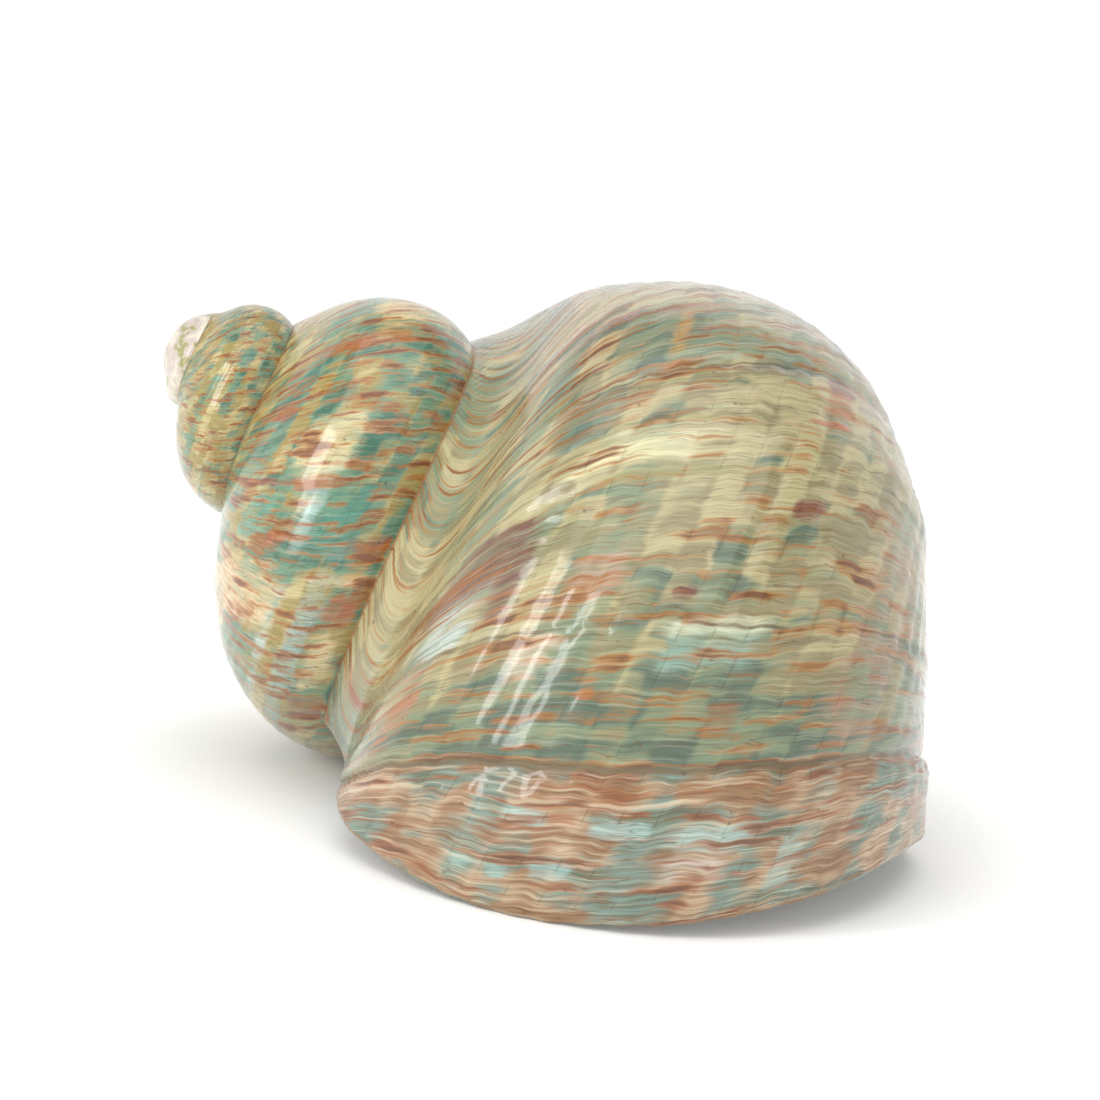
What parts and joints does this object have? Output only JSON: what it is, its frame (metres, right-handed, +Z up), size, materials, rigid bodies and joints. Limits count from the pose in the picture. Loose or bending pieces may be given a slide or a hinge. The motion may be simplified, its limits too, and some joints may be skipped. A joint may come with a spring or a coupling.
{
  "type": "turban seashell",
  "caption": "Polished turban seashell: a low spiral of rounded whorls with a wide round mouth, at rest mouth down on its lip.",
  "frame": {"origin": "middle of the bounding box in plan, at the level of the surface that the shell rests on", "axes": "+Z up from that surface; the spire points to -X and the outer lip faces -Y"},
  "size_m": [0.1132, 0.1172, 0.0748],
  "materials": {
    "shell": "polished aragonite shell, pale green and cream with orange-brown growth lines, nacre inside"
  },
  "bodies": {
    "root": {"shell": "shell"}
  },
  "joints": []
}
